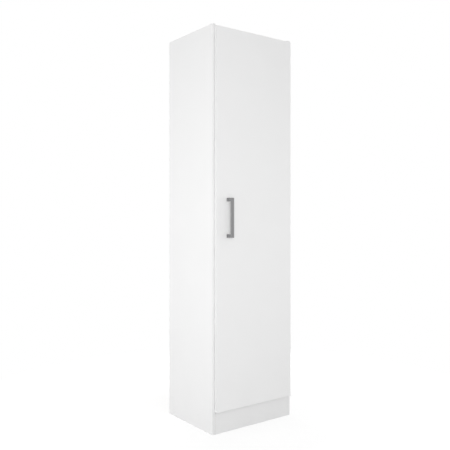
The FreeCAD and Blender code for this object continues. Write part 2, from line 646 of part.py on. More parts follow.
handle_screws = []
for z in HANDLE_HOLE_HEIGHTS:
    seat = V(HANDLE_X, DOOR_BACK_Y, z)
    handle_screws.append(stepped(seat + REARWARDS * HANDLE_SCREW_HEAD_HEIGHT, FORWARDS, [
        (HANDLE_SCREW_HEAD, HANDLE_SCREW_HEAD_HEIGHT),
        (HANDLE_SCREW_DIAMETER, DOOR_THICKNESS + HANDLE_SCREW_BITE),
    ]))
    hole = HANDLE_SCREW_DIAMETER + HANDLE_SCREW_PLAY
    door_cuts.append(rod(seat + REARWARDS * OVERRUN, FORWARDS, hole, DOOR_THICKNESS + 2 * OVERRUN))

bumpers = []
for z in (DOOR_FOOT_Z + BUMPER_END_INSET, DOOR_TOP_Z - BUMPER_END_INSET):
    seat = V(BUMPER_EDGE_INSET - DOOR_EDGE_X, DOOR_BACK_Y, z)
    bumpers.append(rod(seat, REARWARDS, BUMPER_DIAMETER, BUMPER_THICKNESS))

sheet_reach = SIDE_INNER_X + GROOVE_DEPTH - BACK_END_CLEARANCE
back_sheet = block(-sheet_reach, sheet_reach, SHEET_FRONT_Y, SHEET_REAR_Y, PLINTH_HEIGHT, TOP_Z + BOARD)
plinth = block(-SIDE_INNER_X, SIDE_INNER_X, FRONT_Y, FRONT_Y + BOARD, 0, PLINTH_HEIGHT)
rail = block(-SIDE_INNER_X, SIDE_INNER_X, RAIL_FRONT_Y, SHEET_FRONT_Y, RAIL_Z, TOP_Z)

os.makedirs("parts", exist_ok=True)
save("left_side_panel", side_panel(-1))
save("right_side_panel", side_panel(1))
save("top_panel", level_board("top"))
save("bottom_panel", level_board("bottom"))
save("upper_shelf", level_board("shelf"))
save("plinth", plinth.cut(board_cuts["plinth"]))
save("wall_rail", rail.cut(board_cuts["rail"]))
save("back_panel", back_sheet.cut(sheet_cuts))
save("door_panel", door())
save("door_handle", handle())
for name, shape in hinge_pieces.items():
    save(name, shape)
groups = {
    "handle_screws": handle_screws,
    "door_bumpers": bumpers,
    "cam_discs": cam_discs,
    "cam_bolts": cam_bolts,
    "wooden_dowels": dowels,
    "back_panel_nails": nails,
    "hinge_arm_pins": arm_pins,
    "hinge_cup_pins": cup_pins,
    "hinge_cup_screws": cup_screws,
    "hinge_plate_screws": plate_screws,
    "hinge_arm_screws": arm_screws,
}
for name, shapes in groups.items():
    save(name, Part.makeCompound(shapes))
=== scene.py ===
# %% [markdown]
# # A white broom cupboard
# The cupboard is a flat-pack carcass of white faced board with one tall door on three concealed hinges.
# Its solids arrive from the frame at their true size and place, and they are never moved here. This
# lesson gives every solid its finish, turns the small round pieces that the solids keep plain, and then
# sets the light and the camera. All lengths are metres, apart from the lens in millimetres.

# %% Load the frame
import json
import math

import bmesh
import bpy
from mathutils import Matrix, Vector

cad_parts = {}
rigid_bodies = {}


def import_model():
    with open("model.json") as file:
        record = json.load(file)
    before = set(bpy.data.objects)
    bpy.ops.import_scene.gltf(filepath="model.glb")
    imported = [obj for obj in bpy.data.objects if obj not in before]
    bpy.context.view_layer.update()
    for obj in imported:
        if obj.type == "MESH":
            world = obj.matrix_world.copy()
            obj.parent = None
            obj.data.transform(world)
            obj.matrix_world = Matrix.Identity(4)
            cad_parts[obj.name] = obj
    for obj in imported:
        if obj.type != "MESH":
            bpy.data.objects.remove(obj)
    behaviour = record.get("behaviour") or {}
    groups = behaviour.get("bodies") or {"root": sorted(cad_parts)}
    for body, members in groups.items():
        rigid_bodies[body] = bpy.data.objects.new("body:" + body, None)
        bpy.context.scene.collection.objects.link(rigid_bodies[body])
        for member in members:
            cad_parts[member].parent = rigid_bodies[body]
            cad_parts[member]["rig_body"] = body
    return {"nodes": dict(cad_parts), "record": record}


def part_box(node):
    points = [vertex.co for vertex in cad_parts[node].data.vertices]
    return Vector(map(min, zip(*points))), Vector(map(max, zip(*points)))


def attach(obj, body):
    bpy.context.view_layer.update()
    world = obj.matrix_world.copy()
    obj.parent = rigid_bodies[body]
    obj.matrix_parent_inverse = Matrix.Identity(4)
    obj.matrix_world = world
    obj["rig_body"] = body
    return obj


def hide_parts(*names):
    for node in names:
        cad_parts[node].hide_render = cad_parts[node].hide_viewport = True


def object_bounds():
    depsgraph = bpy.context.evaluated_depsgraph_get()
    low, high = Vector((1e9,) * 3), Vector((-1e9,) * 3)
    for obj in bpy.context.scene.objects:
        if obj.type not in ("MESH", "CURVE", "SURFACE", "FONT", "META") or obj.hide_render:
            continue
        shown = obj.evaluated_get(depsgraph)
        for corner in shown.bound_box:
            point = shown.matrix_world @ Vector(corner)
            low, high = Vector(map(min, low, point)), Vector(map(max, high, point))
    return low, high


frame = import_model()
nodes = frame["nodes"]
cad_low, cad_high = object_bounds()
print("solids:", len(nodes), "box:", [round(v, 4) for v in cad_high - cad_low])

# %% [markdown]
# ## The camera
# The cupboard was photographed level, from about half its height, so its uprights are upright in the
# picture. A camera could be aimed at the cupboard by a constraint, but aiming tilts it, and then the
# uprights lean. So it only turns about the vertical, and a small shift moves the picture down. The place
# and the turn come from the vanishing points of the top and bottom edges.

# %% Place the camera
CAMERA_PLACE = Vector((-1.730, -2.268, 0.955))
CAMERA_TURN_DEG = -36.60
CAMERA_LENS_MM = 47.51
CAMERA_SHIFT_SHARE = -0.0185
LEVEL_VIEW_DEG = 90.0
MIDDLE = (cad_low + cad_high) / 2

camera_data = bpy.data.cameras.new("photo_camera")
camera_data.lens = CAMERA_LENS_MM
camera_data.shift_y = CAMERA_SHIFT_SHARE
camera = bpy.data.objects.new("photo_camera", camera_data)
camera.location = CAMERA_PLACE
camera.rotation_euler = (math.radians(LEVEL_VIEW_DEG), 0.0, math.radians(CAMERA_TURN_DEG))
bpy.context.scene.collection.objects.link(camera)
bpy.context.scene.camera = camera
bpy.context.scene.view_settings.view_transform = "Standard"
print("camera distance:", round((CAMERA_PLACE - MIDDLE).length, 3))

# %% [markdown]
# ## Small tools for shader trees
# A finish in Blender is a tree of nodes. It can be wired by hand in the node editor, or written out with
# three or four lines for every node, which soon hides the idea. Short helpers keep it readable: each adds
# one node, fills its inputs with values or links, and gives back the output that the next line needs.

# %% Add a node


def fill(tree, socket, value):
    """Link a socket to another, or set its value."""
    if isinstance(value, bpy.types.NodeSocket):
        tree.links.new(value, socket)
    else:
        socket.default_value = value


def add(tree, kind, inputs=None, **settings):
    """A shader node with its settings made and its inputs filled."""
    made = tree.nodes.new("ShaderNode" + kind)
    for name, value in settings.items():
        setattr(made, name, value)
    for key, value in (inputs or {}).items():
        fill(tree, made.inputs[key], value)
    return made


print("node tools:", [tool.__name__ for tool in (fill, add)])

# %% Sums and mixes
# A Mix node has inputs of the same name for each kind of value, so they are called by their number.
MIX_SHARE = 0
MIX_NUMBERS = (2, 3)
MIX_COLOURS = (6, 7)
MIXED_NUMBER = 0
MIXED_COLOUR = 2


def sum_of(tree, operation, *values):
    """The result of one Math node."""
    return add(tree, "Math", dict(enumerate(values)), operation=operation).outputs["Value"]


def vector_sum(tree, operation, *values):
    """The result of one Vector Math node: a vector, or a number for a dot product or a length."""
    made = add(tree, "VectorMath", dict(enumerate(values)), operation=operation)
    return made.outputs["Value" if operation in ("DOT_PRODUCT", "LENGTH") else "Vector"]


def scaled(tree, vector, factor):
    """A vector times a number."""
    return add(tree, "VectorMath", {0: vector, "Scale": factor}, operation="SCALE").outputs["Vector"]


def mixed(tree, share, first, second, blend="MIX"):
    """Two colours mixed by a share."""
    inputs = {MIX_SHARE: share, MIX_COLOURS[0]: first, MIX_COLOURS[1]: second}
    return add(tree, "Mix", inputs, data_type="RGBA", blend_type=blend).outputs[MIXED_COLOUR]


def between(tree, share, first, second):
    """Two numbers mixed by a share."""
    inputs = {MIX_SHARE: share, MIX_NUMBERS[0]: first, MIX_NUMBERS[1]: second}
    return add(tree, "Mix", inputs, data_type="FLOAT").outputs[MIXED_NUMBER]


def mapped(tree, value, from_low, from_high, to_low, to_high):
    """A number carried from one range to another and kept inside it."""
    ranges = {"From Min": from_low, "From Max": from_high, "To Min": to_low, "To Max": to_high}
    return add(tree, "MapRange", {"Value": value, **ranges}).outputs["Result"]


print("sum tools:", [tool.__name__ for tool in (sum_of, vector_sum, scaled, mixed, between, mapped)])

# %% Noise and place
NOISE_LOW = 0.3
NOISE_MIDDLE = 0.5
NOISE_HIGH = 0.7


def noise(tree, place, scale, detail=2.0):
    """Soft noise from zero to one, which seldom leaves the span from NOISE_LOW to NOISE_HIGH."""
    return add(tree, "TexNoise", {"Vector": place, "Scale": scale, "Detail": detail}).outputs["Fac"]


def own_place(tree):
    """The point on the piece, in the frame's metres, which moves with the piece."""
    return add(tree, "TexCoord").outputs["Object"]


print("noise span:", NOISE_LOW, "to", NOISE_HIGH)

# %% Groups and materials


def start_group(name, inputs, outputs):
    """A shader group with its named sockets, and the sockets to read from and write to inside it."""
    tree = bpy.data.node_groups.new(name, "ShaderNodeTree")
    for title, kind, value in inputs:
        socket = tree.interface.new_socket(title, in_out="INPUT", socket_type="NodeSocket" + kind)
        socket.default_value = value
    for title, kind in outputs:
        tree.interface.new_socket(title, in_out="OUTPUT", socket_type="NodeSocket" + kind)
    return tree, tree.nodes.new("NodeGroupInput").outputs, tree.nodes.new("NodeGroupOutput").inputs


def use_group(tree, group, inputs=None):
    """A group placed in a tree, with its own values."""
    made = tree.nodes.new("ShaderNodeGroup")
    made.node_tree = group
    for key, value in (inputs or {}).items():
        fill(tree, made.inputs[key], value)
    return made.outputs


def start_material(name):
    """A material, its tree and its shader."""
    material = bpy.data.materials.new(name)
    material.use_nodes = True
    return material, material.node_tree, material.node_tree.nodes["Principled BSDF"]


def bump(tree, shader, height, depth):
    """Height in shares of a depth, as a bump on the shader."""
    made = add(tree, "Bump", {"Strength": 1.0, "Distance": depth, "Height": height})
    tree.links.new(made.outputs["Normal"], shader.inputs["Normal"])


print("material tools:", [tool.__name__ for tool in (start_group, use_group, start_material, bump)])

# %% [markdown]
# ## Faced board: where the face, the edge strip and the raw core lie
# A faced board is three materials in one piece: a thin printed film on both broad faces, a plastic strip
# glued to the edges that show, and raw particle board wherever the saw or the drill has cut. It could be
# split into three meshes, or have three materials on chosen faces, but a drilled hole starts in the film
# and ends in the core on one face. A mask has no such trouble: the distance from the six planes of the
# board's box says which of the three a point belongs to.

# %% Group that finds the zones of a board
FILM = 0.0003
STRIP = 0.0008
SEAM = 0.00016
HARD_STEP = 1.0e6


def make_board_zones():
    """Masks of the film, the edge strip, the raw core and the glue seam of one board."""
    tree, given, out = start_group(
        "board_zones",
        [
            ("Low Corner", "Vector", (0, 0, 0)),
            ("High Corner", "Vector", (1, 1, 1)),
            ("Thickness Axis", "Vector", (1, 0, 0)),
            ("Strip Low", "Vector", (0, 0, 0)),
            ("Strip High", "Vector", (0, 0, 0)),
        ],
        [("Film", "Float"), ("Strip", "Float"), ("Core", "Float"), ("Seam", "Float")],
    )
    place = own_place(tree)
    from_low = vector_sum(tree, "SUBTRACT", place, given["Low Corner"])
    from_high = vector_sum(tree, "SUBTRACT", given["High Corner"], place)
    nearest = vector_sum(tree, "MINIMUM", from_low, from_high)
    depth = vector_sum(tree, "DOT_PRODUCT", nearest, given["Thickness Axis"])
    film = sum_of(tree, "LESS_THAN", depth, FILM)

    def on_strip(distance, chosen):
        """One near a chosen edge that carries a strip, and zero elsewhere."""
        near = vector_sum(tree, "SUBTRACT", (STRIP, STRIP, STRIP), distance)
        near = vector_sum(tree, "MINIMUM", scaled(tree, near, HARD_STEP), (1, 1, 1))
        near = vector_sum(tree, "MAXIMUM", near, (0, 0, 0))
        return vector_sum(tree, "DOT_PRODUCT", near, chosen)

    low_strip = on_strip(from_low, given["Strip Low"])
    high_strip = on_strip(from_high, given["Strip High"])
    stripped = sum_of(tree, "ADD", low_strip, high_strip)
    off_film = sum_of(tree, "SUBTRACT", 1.0, film)
    strip = sum_of(tree, "MULTIPLY", sum_of(tree, "MINIMUM", stripped, 1.0), off_film)
    core = sum_of(tree, "SUBTRACT", off_film, strip)
    seam = sum_of(tree, "MULTIPLY", strip, sum_of(tree, "LESS_THAN", depth, FILM + SEAM))
    for title, value in (("Film", film), ("Strip", strip), ("Core", core), ("Seam", seam)):
        tree.links.new(value, out[title])
    return tree


board_zones = make_board_zones()
print("group:", board_zones.name, [item.name for item in board_zones.interface.items_tree])

# %% [markdown]
# ## The pearl of the printed film
# White film isn't glassy. Its press plate leaves a fine pearl like orange peel, a little under a
# millimetre from crest to crest, and the chips below make the sheet swell very slightly over a few
# centimetres. Displacing the mesh would need millions of faces for a few hundredths of a millimetre, so
# both are a bump. Two noises of those sizes give it, and a third shifts the tone by about one part in a
# hundred.

# %% Group for pearl and swell
PEARL_SIZE = 0.0009
SWELL_SIZE = 0.045
TONE_SIZE = 0.16
SWELL_SHARE = 0.6
SURFACE_INPUTS = [(title, "Float", 0.0) for title in ("Tone Spread", "Roughness", "Roughness Spread")]
SURFACE_OUTPUTS = [(title, "Float") for title in ("Tone", "Roughness", "Height")]


def spread(tree, given, out, value):
    """Let one noise shift the tone and the roughness of a surface."""
    low_tone = sum_of(tree, "SUBTRACT", 1.0, given["Tone Spread"])
    tree.links.new(mapped(tree, value, NOISE_LOW, NOISE_HIGH, low_tone, 1.0), out["Tone"])
    centred = sum_of(tree, "SUBTRACT", value, NOISE_MIDDLE)
    shift = sum_of(tree, "MULTIPLY", centred, given["Roughness Spread"])
    tree.links.new(sum_of(tree, "ADD", given["Roughness"], shift), out["Roughness"])


def make_film_pearl():
    """Tone, roughness and height of a pressed film or a rolled lacquer."""
    tree, given, out = start_group("film_pearl", SURFACE_INPUTS, SURFACE_OUTPUTS)
    place = own_place(tree)
    pearl = noise(tree, place, 1.0 / PEARL_SIZE, detail=1.0)
    swell = noise(tree, place, 1.0 / SWELL_SIZE, detail=1.0)
    spread(tree, given, out, noise(tree, place, 1.0 / TONE_SIZE, detail=3.0))
    tree.links.new(sum_of(tree, "MULTIPLY_ADD", swell, SWELL_SHARE, pearl), out["Height"])
    return tree


film_pearl = make_film_pearl()
print("group:", film_pearl.name)

# %% [markdown]
# ## The raw core
# Cut particle board shows flat chips of many browns pressed together, with dark pits where chips have torn
# out. A picture of it would repeat and need unwrapping. A cell texture in space does neither, and it runs
# on into every hole: each cell is a chip with its own tone, and the distance to its middle is its relief.

# %% Group for particle board
CHIP_SIZE = 0.0028
DUST_SIZE = 0.00093
DUST_SHARE = 0.4
CHIP_FLATNESS = Vector((1.0, 1.0, 1.7))
CHIP_PALE = (0.60, 0.46, 0.30, 1.0)
CHIP_DARK = (0.34, 0.23, 0.13, 1.0)


def make_chip_core():
    """Colour and height of sawn particle board."""
    tree, _, out = start_group("chip_core", [], [("Colour", "Color"), ("Height", "Float")])
    place = vector_sum(tree, "MULTIPLY", own_place(tree), CHIP_FLATNESS)
    chips = add(tree, "TexVoronoi", {"Vector": place, "Scale": 1.0 / CHIP_SIZE})
    tone = add(tree, "SeparateColor", {"Color": chips.outputs["Color"]}).outputs["Red"]
    dust = noise(tree, place, 1.0 / DUST_SIZE, detail=4.0)
    share = between(tree, DUST_SHARE, tone, dust)
    tree.links.new(mixed(tree, share, CHIP_DARK, CHIP_PALE), out["Colour"])
    tree.links.new(sum_of(tree, "SUBTRACT", dust, chips.outputs["Distance"]), out["Height"])
    return tree


chip_core = make_chip_core()
print("group:", chip_core.name)

# %% [markdown]
# ## One finish for every board
# One material can't serve all boards, because the zones depend on each board's box and on which of its
# edges carry a strip. So a function makes one for each from a short table. The sides show their front and
# top edges, the level boards their front, the door all four, the rail only its underside and the plinth
# none. The plinth's film and the strips are greyer than the white film. On the plinth this is painted
# shade, because it stands back in the shadow under the door. On the door's strip it is painted shade that
# dims the lit edges. The carcass strips are partly banding of another white and partly painted shade on
# the sides' front edges beside the door.

# %% Whites and edges
WHITE_FILM = (0.88, 0.88, 0.88, 1.0)
# The plinth's film is greyer as painted shade: the plinth stands back in the shadow under the door.
PLINTH_FILM_PAINTED_SHADE = (0.85, 0.85, 0.85, 1.0)
# The carcass strip is greyer partly as a real tone of the banding and partly as painted shade on the
# sides' front edges beside the door.
CARCASS_STRIP_AND_PAINTED_SHADE = (0.84, 0.84, 0.84, 1.0)
# The door's strip is darker as painted shade that dims the door's lit edges.
DOOR_STRIP_PAINTED_SHADE = (0.78, 0.78, 0.78, 1.0)
SEAM_TINT = (0.62, 0.61, 0.59, 1.0)
AXES = {"X": Vector((1, 0, 0)), "Y": Vector((0, 1, 0)), "Z": Vector((0, 0, 1))}
FACED_BOARDS = {
    "left_side_panel": ("X", "-Y +Z", WHITE_FILM, CARCASS_STRIP_AND_PAINTED_SHADE),
    "right_side_panel": ("X", "-Y +Z", WHITE_FILM, CARCASS_STRIP_AND_PAINTED_SHADE),
    "top_panel": ("Z", "-Y", WHITE_FILM, CARCASS_STRIP_AND_PAINTED_SHADE),
    "bottom_panel": ("Z", "-Y", WHITE_FILM, CARCASS_STRIP_AND_PAINTED_SHADE),
    "upper_shelf": ("Z", "-Y", WHITE_FILM, CARCASS_STRIP_AND_PAINTED_SHADE),
    "plinth": ("Y", "", PLINTH_FILM_PAINTED_SHADE, CARCASS_STRIP_AND_PAINTED_SHADE),
    "wall_rail": ("Y", "-Z", WHITE_FILM, CARCASS_STRIP_AND_PAINTED_SHADE),
    "door_panel": ("Y", "-X +X -Z +Z", WHITE_FILM, DOOR_STRIP_PAINTED_SHADE),
}
print("edges with a strip:", {name: makeup[1] for name, makeup in FACED_BOARDS.items()})

# %% Faced boards
FILM_ROUGHNESS = 0.55
FILM_GLOSS_SPREAD = 0.05
FILM_TONE_SPREAD = 0.012
CORE_ROUGHNESS = 0.85
FILM_RELIEF = 0.000012
CORE_RELIEF = 0.00025


def faced_board(name, thickness, stripped_edges, film_white_and_shade, strip_white_and_shade):
    """White film, edge strip and raw core on one board."""
    material, tree, shader = start_material("faced_" + name)
    low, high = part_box(name)
    strips = {"-": Vector((0, 0, 0)), "+": Vector((0, 0, 0))}
    for edge in stripped_edges.split():
        strips[edge[0]] += AXES[edge[1]]
    zones = use_group(tree, board_zones, {
        "Low Corner": low,
        "High Corner": high,
        "Thickness Axis": AXES[thickness],
        "Strip Low": strips["-"],
        "Strip High": strips["+"],
    })
    film = use_group(tree, film_pearl, {
        "Tone Spread": FILM_TONE_SPREAD,
        "Roughness": FILM_ROUGHNESS,
        "Roughness Spread": FILM_GLOSS_SPREAD,
    })
    core = use_group(tree, chip_core)
    # Painted shade rides in here: the plinth's film and the strip colours are darkened for the shade they
    # stand in.
    white = mixed(tree, zones["Strip"], film_white_and_shade, strip_white_and_shade)
    white = mixed(tree, zones["Seam"], white, SEAM_TINT)
    white = mixed(tree, 1.0, white, film["Tone"], "MULTIPLY")
    colour = mixed(tree, zones["Core"], white, core["Colour"])
    tree.links.new(colour, shader.inputs["Base Color"])
    roughness = between(tree, zones["Core"], film["Roughness"], CORE_ROUGHNESS)
    tree.links.new(roughness, shader.inputs["Roughness"])
    core_height = sum_of(tree, "MULTIPLY", core["Height"], CORE_RELIEF / FILM_RELIEF)
    bump(tree, shader, between(tree, zones["Core"], film["Height"], core_height), FILM_RELIEF)
    return material


def dress(name, material):
    """Give a solid its finish."""
    nodes[name].data.materials.clear()
    nodes[name].data.materials.append(material)


for board, makeup in FACED_BOARDS.items():
    dress(board, faced_board(board, *makeup))
print("faced boards:", len(FACED_BOARDS))

# %% [markdown]
# ## The back sheet
# Hardboard is lacquered white on the side that faces the inside. Its other side keeps the brown of the
# fibre and the print of the wire screen it was pressed on. A woven screen could be modelled wire by wire,
# but it is only a tenth of a millimetre deep, so two crossed waves make it as a bump. The middle plane of
# the sheet parts the two sides.

# %% Hardboard
LACQUER = (0.84, 0.84, 0.83, 1.0)
LACQUER_ROUGHNESS = 0.45
LACQUER_TONE_SPREAD = 0.02
FIBRE_PALE = (0.37, 0.245, 0.145, 1.0)
FIBRE_DARK = (0.29, 0.185, 0.105, 1.0)
SCREEN_PITCH = 0.0022
SCREEN_RELIEF = 0.00012
FIBRE_SIZE = 0.006
FIBRE_ROUGHNESS = 0.7


def hardboard():
    """White lacquer inside, screen-marked brown fibre behind."""
    material, tree, shader = start_material("white_hardboard_sheet")
    low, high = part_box("back_panel")
    place = own_place(tree)
    split = add(tree, "SeparateXYZ", {"Vector": place}).outputs
    behind = sum_of(tree, "GREATER_THAN", split["Y"], (low.y + high.y) / 2)
    film = use_group(tree, film_pearl, {
        "Tone Spread": LACQUER_TONE_SPREAD,
        "Roughness": LACQUER_ROUGHNESS,
        "Roughness Spread": FILM_GLOSS_SPREAD,
    })
    angle_per_metre = 2 * math.pi / SCREEN_PITCH
    angles = [sum_of(tree, "MULTIPLY", split[axis], angle_per_metre) for axis in "XZ"]
    screen = sum_of(tree, "MULTIPLY", *(sum_of(tree, "SINE", angle) for angle in angles))
    fibre = noise(tree, place, 1.0 / FIBRE_SIZE, detail=5.0)
    brown = mixed(tree, mapped(tree, fibre, NOISE_LOW, NOISE_HIGH, 0.0, 1.0), FIBRE_DARK, FIBRE_PALE)
    white = mixed(tree, 1.0, LACQUER, film["Tone"], "MULTIPLY")
    tree.links.new(mixed(tree, behind, white, brown), shader.inputs["Base Color"])
    tree.links.new(between(tree, behind, film["Roughness"], FIBRE_ROUGHNESS), shader.inputs["Roughness"])
    relief = sum_of(tree, "MULTIPLY", screen, SCREEN_RELIEF / FILM_RELIEF)
    bump(tree, shader, between(tree, behind, film["Height"], relief), FILM_RELIEF)
    return material


dress("back_panel", hardboard())

# %% [markdown]
# ## Metal
# The handle is brushed along its length, the hinges are nickel on pressed steel, the screws are bright
# zinc and the cams cast zinc. Brushed metal can be an anisotropic shader, but that shows no single streak.
# Here one group serves them all: a noise stretched along a direction changes tone, gloss and height
# together. It is streaky on the handle, and even where the stretch is the same in all directions.

# %% Group for worked surfaces
SMEAR_SIZE = 0.017
SMEAR_SHARE = 0.3


def make_worked_grain():
    """Tone, roughness and height of a surface that is brushed, rolled or cast, or cut along its grain."""
    inputs = [("Grain", "Vector", (1, 1, 1)), *SURFACE_INPUTS]
    tree, given, out = start_group("worked_grain", inputs, SURFACE_OUTPUTS)
    place = own_place(tree)
    streak = noise(tree, vector_sum(tree, "MULTIPLY", place, given["Grain"]), 1.0, detail=3.0)
    smear = noise(tree, place, 1.0 / SMEAR_SIZE, detail=3.0)
    spread(tree, given, out, between(tree, SMEAR_SHARE, streak, smear))
    tree.links.new(streak, out["Height"])
    return tree


worked_grain = make_worked_grain()
print("group:", worked_grain.name)

# %% Metals


def metal(name, colour, grain, roughness, gloss_spread, tone_spread, relief, metallic):
    """A metal finish from its colour, grain and gloss."""
    material, tree, shader = start_material(name)
    surface = use_group(tree, worked_grain, {
        "Grain": grain,
        "Tone Spread": tone_spread,
        "Roughness": roughness,
        "Roughness Spread": gloss_spread,
    })
    tree.links.new(mixed(tree, 1.0, colour, surface["Tone"], "MULTIPLY"), shader.inputs["Base Color"])
    tree.links.new(surface["Roughness"], shader.inputs["Roughness"])
    shader.inputs["Metallic"].default_value = metallic
    bump(tree, shader, surface["Height"], relief)
    return material


METALS = {
    "handle_metal": dict(
        name="brushed_handle", colour=(0.245, 0.245, 0.25, 1), grain=(5000, 5000, 40), roughness=0.42,
        gloss_spread=0.3, tone_spread=0.16, relief=0.000004, metallic=0.35),
    "hinge_steel": dict(
        name="nickel_steel", colour=(0.70, 0.69, 0.67, 1), grain=(400, 400, 400), roughness=0.24,
        gloss_spread=0.06, tone_spread=0.03, relief=0.0000004, metallic=1.0),
    "screw_steel": dict(
        name="bright_zinc", colour=(0.66, 0.665, 0.66, 1), grain=(1500, 1500, 1500), roughness=0.28,
        gloss_spread=0.1, tone_spread=0.06, relief=0.000001, metallic=1.0),
    "cam_zinc": dict(
        name="cast_zinc", colour=(0.56, 0.56, 0.56, 1), grain=(2200, 2200, 2200), roughness=0.46,
        gloss_spread=0.3, tone_spread=0.18, relief=0.00003, metallic=1.0),
}
finishes = {slot: metal(**makeup) for slot, makeup in METALS.items()}
print("metals:", sorted(finishes))

# %% [markdown]
# ## Beech and soft buffers
# The dowels are plain beech with the grain along their length, which is the same stretched noise as on the
# handle, mixed between two browns. The buffers are clear soft plastic. They could be full glass, but a
# real one is cloudy, so they let only a part of the light through and take on the white of the door.

# %% Beech
BEECH_PALE = (0.78, 0.62, 0.43, 1.0)
BEECH_DARK = (0.62, 0.44, 0.27, 1.0)
BEECH_GRAIN = (30.0, 700.0, 700.0)
BEECH_ROUGHNESS = 0.6
BEECH_GLOSS_SPREAD = 0.2
BEECH_RELIEF = 0.00004


def beech():
    """Plain beech with its grain along the dowel."""
    material, tree, shader = start_material("plain_beech")
    surface = use_group(tree, worked_grain, {
        "Grain": BEECH_GRAIN,
        "Tone Spread": 1.0,
        "Roughness": BEECH_ROUGHNESS,
        "Roughness Spread": BEECH_GLOSS_SPREAD,
    })
    tree.links.new(mixed(tree, surface["Tone"], BEECH_DARK, BEECH_PALE), shader.inputs["Base Color"])
    tree.links.new(surface["Roughness"], shader.inputs["Roughness"])
    bump(tree, shader, surface["Height"], BEECH_RELIEF)
    return material


finishes["beech"] = beech()
print("beech:", finishes["beech"].name)

# %% Buffers, and every finish on its solids
BUFFER_WHITE = (0.82, 0.82, 0.80, 1.0)
BUFFER_ROUGHNESS = 0.3
BUFFER_TONE_SPREAD = 0.04
BUFFER_CLEARNESS = 0.5


def soft_buffer():
    """Clear soft plastic."""
    material, tree, shader = start_material("clear_buffer")
    film = use_group(tree, film_pearl, {
        "Tone Spread": BUFFER_TONE_SPREAD,
        "Roughness": BUFFER_ROUGHNESS,
        "Roughness Spread": FILM_GLOSS_SPREAD,
    })
    tree.links.new(mixed(tree, 1.0, BUFFER_WHITE, film["Tone"], "MULTIPLY"), shader.inputs["Base Color"])
    tree.links.new(film["Roughness"], shader.inputs["Roughness"])
    shader.inputs["Transmission Weight"].default_value = BUFFER_CLEARNESS
    bump(tree, shader, film["Height"], FILM_RELIEF)
    return material


finishes["clear_rubber"] = soft_buffer()
for subpart in frame["record"]["subparts"]:
    if subpart["material_slot"] in finishes:
        dress(subpart["node"], finishes[subpart["material_slot"]])
print("finishes:", sorted(finishes))

# %% [markdown]
# ## Round pieces: measuring their solids
# In the solids a screw is two plain cylinders and a buffer is one. The real ones have domed heads, a cross
# for the driver and a thread. Their sizes could be typed in again, but then they would miss their holes
# when the cupboard changes. So each is measured on the solid that it stands for: the points of a group are
# sorted into its separate solids, and each solid gives its rings from the top down.

# %% Part a group into its solids
WELD = 0.00001


def lowest_corner(points):
    """The lowest X, Y and Z among some points."""
    return tuple(min(point[axis] for point in points) for axis in range(3))


def loose_solids(name):
    """The points of each separate solid in a node."""
    shape = bmesh.new()
    shape.from_mesh(nodes[name].data)
    bmesh.ops.remove_doubles(shape, verts=shape.verts, dist=WELD)
    waiting = set(shape.verts)
    solids = []
    while waiting:
        found = [waiting.pop()]
        for vert in found:
            near = {edge.other_vert(vert) for edge in vert.link_edges} & waiting
            waiting -= near
            found.extend(near)
        solids.append([vert.co.copy() for vert in found])
    shape.free()
    return sorted(solids, key=lowest_corner)


print("solids in cam_bolts:", len(loose_solids("cam_bolts")))

# %% Measure one solid
FACINGS = {"-X": Vector((-1, 0, 0)), "+X": Vector((1, 0, 0)), "+Y": Vector((0, 1, 0))}
RING_DIGITS = 5


def facing_of(points, direction):
    """The way that a piece's top points. Inwards is towards the middle of the cupboard's width."""
    if direction == "inwards":
        direction = "+X" if lowest_corner(points)[0] < 0 else "-X"
    return FACINGS[direction]


def measure_turned(points, facing):
    """The middle of a turned solid's top, and its rings of (radius, height), top first at height zero."""
    low = Vector(lowest_corner(points))
    high = Vector([max(point[axis] for point in points) for axis in range(3)])
    middle = (low + high) / 2
    crown = middle + facing * (max(point.dot(facing) for point in points) - middle.dot(facing))
    radii_at = {}
    for point in points:
        height = (point - crown).dot(facing)
        radius = (point - crown - facing * height).length
        radii_at.setdefault(round(height, RING_DIGITS), set()).add(round(radius, RING_DIGITS))
    rings = []
    for height in sorted(radii_at, reverse=True):
        last = rings[-1][0] if rings else 0.0
        radii = sorted(radii_at[height], key=lambda radius: abs(radius - last))
        rings += [(radius, height) for radius in radii]
    return crown, rings


for group, direction in (("hinge_cup_screws", "+Y"), ("cam_bolts", "inwards")):
    solid = loose_solids(group)[0]
    print("rings of", group, measure_turned(solid, facing_of(solid, direction))[1])

# %% [markdown]
# ## Turning
# A turned piece is a profile that goes round an axis. The Spin tool and the Screw modifier do that, but
# they keep the profile the same all the way round. Here every step of the turn asks for its own profile,
# which also gives the flutes of a dowel and the thread of a screw. A weld closes the seam and both ends.

# %% Turn a profile
TURN_STEPS = 40
FINE_WELD = 0.000001


def closed_mesh(shape, name):
    """A mesh from loose faces that meet: welded, with all faces outwards."""
    bmesh.ops.remove_doubles(shape, verts=shape.verts, dist=FINE_WELD)
    bmesh.ops.recalc_face_normals(shape, faces=shape.faces)
    mesh = bpy.data.meshes.new(name)
    shape.to_mesh(mesh)
    shape.free()
    return mesh


def turned(profile_at, steps=TURN_STEPS):
    """A mesh round Z. At a share of the turn, profile_at gives points of (radius, height), top first."""
    shape = bmesh.new()
    rows = []
    for step in range(steps + 1):
        share = step / steps
        across = Vector((math.cos(2 * math.pi * share), math.sin(2 * math.pi * share), 0))
        points = [across * radius + Vector((0, 0, height)) for radius, height in profile_at(share)]
        rows.append([shape.verts.new(point) for point in points])
    for row, after in zip(rows, rows[1:]):
        for index in range(len(row) - 1):
            shape.faces.new((row[index], row[index + 1], after[index + 1], after[index]))
    return closed_mesh(shape, "turned")


print("steps in a turn:", TURN_STEPS)

# %% Put a turned piece in place of each solid
SMOOTH_DEG = 32.0
DRIVER_TURN_DEG = 137.5
slot_of = {subpart["node"]: subpart["material_slot"] for subpart in frame["record"]["subparts"]}


